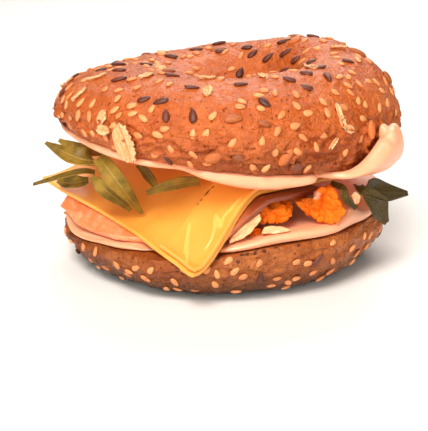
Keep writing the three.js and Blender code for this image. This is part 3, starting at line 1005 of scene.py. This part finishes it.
def addSeed(shape, matrix, taper, tone, rings):
    seed = bmesh.new()
    toneLayer = seed.verts.layers.float.new("tone")
    bmesh.ops.create_uvsphere(seed, u_segments=8, v_segments=rings, radius=1)
    bmesh.ops.rotate(seed, verts=seed.verts, cent=(0, 0, 0), matrix=Matrix.Rotation(math.pi / 2, 3, "Y"))
    for vert in seed.verts:
        narrow = 1 - taper * vert.co.x
        vert.co.y *= narrow
        vert.co.z *= 0.6 + 0.4 * narrow
        vert[toneLayer] = tone
    bmesh.ops.transform(seed, matrix=matrix, verts=seed.verts)
    gather(shape, seed)


# Bands are shares of a half's section. Sizes are half lengths
strewing = {"upperBand": (0.03, 0.85), "lowerBand": (0.08, 0.42), "fullFrom": 54, "tries": 60}
speck = {"size": (0.6, 0.45, 0.35), "sink": 0.1, "rings": 5}
sesame = {
    "pale": "#ec9e62", "deep": "#d67c42", "gloss": 0.38, "groove": 0.1,
    "size": (1.55, 0.95, 0.5), "sink": 0.18, "taper": 0.25, "rings": 6,
    "upperCount": 200, "lowerCount": 100, "spacing": 3.1,
    "upperSeen": [
        (63, 115, 10), (67, 105, 70), (70, 96, 60), (81, 103, 50), (93, 104, 65), (115, 110, 20),
        (119, 116, 25), (132, 106, 5), (133, 114, 0), (106, 137, 100), (85, 133, 85), (158, 135, -20),
        (165, 129, 10), (171, 149, 105), (193, 134, 85), (206, 134, 60), (213, 116, 50), (207, 163, 10),
        (240, 107, 0), (242, 102, -30), (259, 96, 10), (264, 91, -20), (275, 93, 80), (296, 95, 110),
        (261, 109, -15), (295, 126, 15), (327, 113, 100), (262, 141, 95), (275, 151, 95), (298, 152, -30),
        (316, 147, 120), (350, 93, -30), (358, 101, 70), (365, 105, 90), (379, 108, 80), (352, 73, -15),
        (348, 86, -25), (376, 83, -30), (387, 103, 80), (345, 152, 70), (360, 139, 60), (253, 167, 120),
        (266, 168, 60), (196, 69, 15), (159, 66, -20), (184, 57, 60), (190, 57, 20), (246, 36, 10),
        (225, 52, 60), (268, 46, 0), (302, 62, 15), (334, 54, 0), (395, 112, 95), (391, 92, 110),
    ],
    "lowerSeen": [
        (207, 270, 45), (217, 274, 105), (215, 284, 110), (235, 271, 50), (277, 278, 15), (288, 282, 110),
        (271, 285, 5), (296, 278, -10), (308, 263, -15), (313, 272, 45), (320, 278, 20), (330, 271, 50),
        (352, 248, 15), (364, 236, 120), (366, 246, 60), (68, 213, 60), (75, 222, 100), (84, 247, 120),
        (106, 267, -40), (117, 265, 120), (128, 274, -40), (236, 291, 0), (291, 288, 0),
    ],
    "specks": [],
}
flax = {
    "pale": "#6e2c16", "deep": "#451a0c", "gloss": 0.4, "groove": 0.08,
    "size": (2.3, 1.1, 0.6), "sink": 0.3, "taper": 0.35, "rings": 6,
    "upperCount": 22, "lowerCount": 4, "spacing": 6,
    "upperSeen": [
        (144, 100, 8), (161, 102, -175), (166, 116, 95), (193, 116, 100), (119, 80, 195), (119, 71, 160),
        (146, 65, 160), (171, 57, 150), (196, 50, 170), (219, 44, 10), (221, 52, 5), (239, 41, 0),
        (247, 48, 170), (253, 54, 60), (268, 58, 30), (284, 42, 0), (286, 53, 0), (285, 71, 0),
        (289, 80, 175), (306, 74, 155), (320, 68, 50), (306, 88, 170), (241, 85, 15), (240, 73, 70),
        (192, 88, -5), (172, 76, 0), (348, 62, 0), (64, 92, 60), (74, 78, 50), (296, 60, 10),
    ],
    "lowerSeen": [(260, 277, 95), (317, 260, 60), (366, 252, 45), (318, 283, 5)],
    "specks": [
        (242, 255, 0), (247, 254, 20), (255, 253, 60), (264, 251, 10), (276, 248, 0), (298, 245.5, 30),
        (317, 239, 0), (218, 259, 0), (325, 284, 10), (238, 262, 0),
    ],
}
# A kernel has its column, row, turn, half length, half width and tone
kernels = {
    "pale": "#d5702c", "deep": "#5a2414", "gloss": 0.28, "groove": 0.25,
    "taper": 0.12, "sink": 0.15, "rings": 8, "strewnWidth": 1.4,
    "seen": [
        (233, 119, 5, 2.7, 1.3, 0.45), (213, 158, 25, 2.6, 1.6, 0.3), (286, 157, 60, 3.1, 1.5, 0.15),
        (264, 124, -10, 2, 1.1, 0.6), (239, 158, -15, 2.2, 1.6, 0.85), (296, 167, 0, 2, 1.9, 0.95),
        (303, 65, -15, 2.6, 1.4, 0.4), (371, 130, 95, 2.8, 1.5, 0), (387, 78, -40, 2.4, 1.4, 0.6),
    ],
    "band": (0.05, 0.8), "strewn": 12, "spacing": 9,
}


def seedMaterial(name, kind):
    recipe = Recipe(name)
    tone = recipe.attribute("tone")
    streaks = recipe.grain(0.5, 3, 0.6)
    colour = recipe.blend(tone * 0.8 + 0.3 * streaks - 0.1, kind["pale"], kind["deep"])
    gloss = kind["gloss"] + 0.2 * recipe.grain(1.1, 2)
    return recipe.finish(colour, gloss, streaks, kind["groove"], (0.1, 0.001))


def bareUpper(point):
    folded = point.x > 30 and point.y < 0 and point.z < 50
    return folded or point.z < upperCut(point.x, point.y) + 1


def bareLower(point):
    return point.z < 2.2 or point.z > lowerCut(point.x, point.y) - 1 or point.xy.length < 30


def makeSeeds(kind, upper, lower, roll, taken, name, materialName):
    shape = bmesh.new()
    spots = spotsSeen(upper["tree"], kind["upperSeen"]) + spotsSeen(lower["tree"], kind["lowerSeen"])
    taken += [spot[0] for spot in spots]
    spacing = kind["spacing"]
    spots += spotsStrewn(upper, strewing["upperBand"], kind["upperCount"], spacing, taken, roll)
    spots += spotsStrewn(lower, strewing["lowerBand"], kind["lowerCount"], spacing, taken, roll)
    for point, normal, heading in spots:
        size = [side * roll.uniform(0.86, 1.12) for side in kind["size"]]
        tilted = (normal + 0.12 * Vector((roll.uniform(-1, 1), roll.uniform(-1, 1), 0))).normalized()
        matrix = standing(point, tilted, heading, size, kind["sink"])
        addSeed(shape, matrix, kind["taper"], roll.random(), kind["rings"])
    for point, normal, heading in spotsSeen(lower["tree"], kind["specks"]):
        matrix = standing(point, normal, heading, speck["size"], speck["sink"])
        addSeed(shape, matrix, 0, 1, speck["rings"])
    makePiece(shape, name, seedMaterial(materialName, kind), ["bagel_top", "bagel_bottom"])


def makeKernels(upper, roll, taken):
    shape = bmesh.new()
    sink = kernels["sink"]
    for column, row, turn, length, width, tone in kernels["seen"]:
        point, normal, heading = spotsSeen(upper["tree"], [(column, row, turn)])[0]
        matrix = standing(point, normal, heading, (length, width, 1), sink)
        addSeed(shape, matrix, kernels["taper"], tone, kernels["rings"])
        taken.append(point)
    strewn = spotsStrewn(upper, kernels["band"], kernels["strewn"], kernels["spacing"], taken, roll)
    for point, normal, heading in strewn:
        size = (roll.uniform(2.2, 3), kernels["strewnWidth"], 1)
        matrix = standing(point, normal, heading, size, sink)
        addSeed(shape, matrix, kernels["taper"], roll.random(), kernels["rings"])
    makePiece(shape, "kernels", seedMaterial("toastedKernel", kernels), ["bagel_top"])


# Oat flakes: thin ovals with a groove and a torn rim, as column, row, turn, length and width
flakes = {
    "pale": "#f6be8a", "deep": "#d98444",
    "seen": [
        (125, 143, 100, 11, 6.4), (98, 78, 8, 5.6, 1.6), (80, 95, 60, 5.5, 1.6), (332, 144, 50, 4.6, 1.1),
        (338, 112, 97, 5, 1.3), (341.5, 123, 125, 3.6, 1.7), (348, 129, -10, 3.8, 2.4), (207, 79, 20, 5, 2),
        (338, 48, 5, 5, 1.8), (103, 118, 60, 4.4, 3.2), (104, 130, -10, 4.4, 2.8),
    ],
    "band": (0.05, 0.75), "strewn": 9, "spacing": 10,
    "thickness": 0.5, "sink": 0.1, "largeFrom": 8,
    "largeSteps": (44, 30), "smallSteps": (16, 10),
}


def addFlake(shape, spot, length, width, seed):
    flake = bmesh.new()
    steps = flakes["largeSteps"] if length > flakes["largeFrom"] else flakes["smallSteps"]
    bmesh.ops.create_grid(flake, x_segments=steps[0], y_segments=steps[1], size=1)
    toneLayer = flake.verts.layers.float.new("tone")
    for vert in flake.verts:
        x, y = vert.co.xy
        edge = math.sqrt(max(1 - 0.92 * x * x, 0.02))
        ragged = smooth(0, -0.7, y)
        tear = 1 + 0.1 * noise.noise(Vector((3 * x, 2 * y, seed)))
        tear += 0.3 * ragged * noise.noise(Vector((6 * x, 4 * y, seed + 2)))
        groove = 0.6 * hill(y + 0.1, 0.1) + 0.2 * hill(y - 0.45, 0.1) + 0.2 * hill(y + 0.5, 0.08)
        ripple = 0.25 * noise.noise(Vector((1.6 * x, 5 * y, seed + 5)))
        crumbs = ragged * abs(noise.noise(Vector((5 * x, 4 * y, seed + 8))))
        lift = 0.35 + 0.3 * y * y - groove + ripple + crumbs
        vert.co = Vector((x * length / 2 * tear, y * edge * width / 2 * tear, lift))
        vert[toneLayer] = 0.35 + 0.6 * groove - 0.5 * ragged + 0.4 * ripple
    everything = flake.faces[:] + flake.edges[:] + flake.verts[:]
    bmesh.ops.solidify(flake, geom=everything, thickness=flakes["thickness"])
    bmesh.ops.recalc_face_normals(flake, faces=flake.faces)
    matrix = standing(*spot, (1, 1, 1), flakes["sink"])
    bmesh.ops.transform(flake, matrix=matrix, verts=flake.verts)
    gather(shape, flake)


def flakeMaterial():
    recipe = Recipe("oatFlake")
    streaks = recipe.grain(0.9, 4, 0.65)
    tone = recipe.attribute("tone") + 0.6 * recipe.ramp(streaks, (0.4, 0), (0.62, 1)) - 0.15
    colour = recipe.blend(tone, flakes["pale"], flakes["deep"])
    return recipe.finish(colour, 0.6, streaks, 0.4, (0.15, 0.001))


# Each flake is torn by its own part of the noise
def makeFlakes(upper, roll, taken):
    shape = bmesh.new()
    for i, (column, row, turn, length, width) in enumerate(flakes["seen"]):
        spot = spotsSeen(upper["tree"], [(column, row, turn)])[0]
        addFlake(shape, spot, length, width, i * 3.7)
        taken.append(spot[0])
    strewn = spotsStrewn(upper, flakes["band"], flakes["strewn"], flakes["spacing"], taken, roll)
    for i, spot in enumerate(strewn):
        length = roll.uniform(4, 7)
        addFlake(shape, spot, length, length * 0.5, 40 + i * 2.3)
    makePiece(shape, "oatFlakes", flakeMaterial(), ["bagel_top"])


# A piece's name from its node's
def named(kind, node):
    return kind + node.title().replace("_", "")


# Both halves of the bread and what is baked on them
def makeBread():
    roll = random.Random(11)
    taken = []
    upperShape = makeUpperBread()
    lowerShape = makeLowerBread()
    upper = {"tree": BVHTree.FromBMesh(upperShape), "place": upperPlace, "isBare": bareUpper}
    lower = {"tree": BVHTree.FromBMesh(lowerShape), "place": lowerPlace, "isBare": bareLower}
    makePiece(upperShape, "breadTop", crustMaterial("upper"), ["bagel_top"])
    makePiece(lowerShape, "breadBottom", crustMaterial("lower"), ["bagel_bottom"])
    makeKernels(upper, roll, taken)
    makeFlakes(upper, roll, taken)
    makeSeeds(flax, upper, lower, roll, taken, "flaxSeeds", "flaxSeed")
    makeSeeds(sesame, upper, lower, roll, taken, "sesameSeeds", "sesameSeed")


def makeCream():
    material = creamMaterial()
    lower = turned(lowerCream["stations"], lowerCream["bearings"], lowerCreamPlace)
    makePiece(lower, "creamBelow", material, ["cream_lower"])
    upper = turned(upperCream["stations"], upperCream["bearings"], upperCreamPlace)
    dressFold(upper)
    makePiece(upper, "creamAbove", material, ["cream_upper"])


def makeSlices():
    material = cheeseMaterial()
    thickness = cheese["thickness"]
    lower = sheet(lowerSlice, cheese["lowerSteps"], thickness, cheese["lowerRounding"])
    makePiece(lower, "cheeseBelow", material, ["cheese_lower"])
    lift = thickness + 1.6 * gap
    upper = sheet(upperSlice, cheese["upperSteps"], thickness, cheese["upperRounding"], lift)
    dressSlice(upper)
    makePiece(upper, "cheeseAbove", material, ["cheese_upper"])
    lift = -gap - ham["thickness"]
    slab = sheet(hamSurface, ham["steps"], ham["thickness"], ham["rounding"], lift)
    makePiece(slab, "hamSlice", hamMaterial(), ["ham"])


def makeEgg():
    whites = whiteMaterial()
    for name, facts in eggWhites.items():
        chunk = makeChunk(facts, torn["raggedWhite"])
        makePiece(chunk, named("torn", name), whites, [name])
    yolks = yolkMaterial()
    for name, facts in eggYolks.items():
        chunk = makeChunk(facts, torn["raggedYolk"])
        makePiece(chunk, named("torn", name), yolks, [name])


def makeRocket():
    material = leafMaterial()
    blades = [(named("rocket", node), node, facts) for node, facts in leaves.items()]
    lobes = zip(("rocketUpperLobe", "rocketLowerLobe"), rightLobes)
    blades += [(name, "leaf_right", facts) for name, facts in lobes]
    for name, node, facts in blades:
        blade = sheet(leafSurface(*facts), leaf["steps"], leaf["thickness"], leaf["rounding"])
        makePiece(blade, name, material, [node])


# Plain pale floor, soft studio light and the photograph's camera
studio = {
    "floorColour": (0.93, 0.92, 0.9, 1), "floorReach": 2.5, "floorLevel": -0.0004,
    "world": 0.15, "warmth": (1, 0.965, 0.9),
    "lamps": {
        "key": {"at": (-0.18, -0.58, 0.77), "size": 0.42, "power": 9},
        "fill": {"at": (0.7, -0.65, 0.35), "size": 0.8, "power": 2.1},
        "front": {"at": (-0.35, -0.85, 0.36), "size": 0.7, "power": 4.4},
        "back": {"at": (0.1, 0.7, 0.7), "size": 0.8, "power": 7},
    },
}


def makeFloor():
    shape = bmesh.new()
    bmesh.ops.create_grid(shape, x_segments=2, y_segments=2, size=studio["floorReach"])
    mesh = meshOf(shape, "floor")
    mesh.materials.append(Recipe("paleFloor").finish(studio["floorColour"], 0.8))
    floor = inScene("floor", mesh)
    floor.location.z = studio["floorLevel"]
    floor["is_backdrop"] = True


def makeLamp(name, facts):
    data = bpy.data.lights.new(name, "AREA")
    data.shape = "DISK"
    data.size = facts["size"]
    data.energy = facts["power"]
    data.color = studio["warmth"]
    lamp = inScene(name, data)
    lamp.location = facts["at"]
    lamp.rotation_euler = (-Vector(facts["at"])).to_track_quat("-Z", "Y").to_euler()


def makeCamera():
    data = bpy.data.cameras.new("camera")
    data.sensor_width = 36
    data.lens = picture["focal"] / picture["longSide"] * data.sensor_width
    eye, forward, _, _ = viewRay(*picture["middle"])
    camera = inScene("camera", data)
    camera.location = (eye + ringAxis) * millimetre
    camera.rotation_euler = forward.to_track_quat("-Z", "Y").to_euler()
    data.clip_start = 0.01
    data.clip_end = 20
    bpy.context.scene.camera = camera


def makeStudio():
    makeFloor()
    for name, facts in studio["lamps"].items():
        makeLamp(name, facts)
    world = bpy.data.worlds.new("studio")
    world.use_nodes = True
    background = world.node_tree.nodes["Background"]
    background.inputs["Color"].default_value = (1, 1, 1, 1)
    background.inputs["Strength"].default_value = studio["world"]
    bpy.context.scene.world = world
    bpy.context.scene.view_settings.view_transform = "Standard"
    makeCamera()
    print("studio set")


makeBread()
makeCream()
makeSlices()
makeEgg()
makeRocket()
makeStudio()

boxes = {"cad": cadBox, "visual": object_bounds()}
{name: [list(corner) for corner in box] for name, box in boxes.items()}
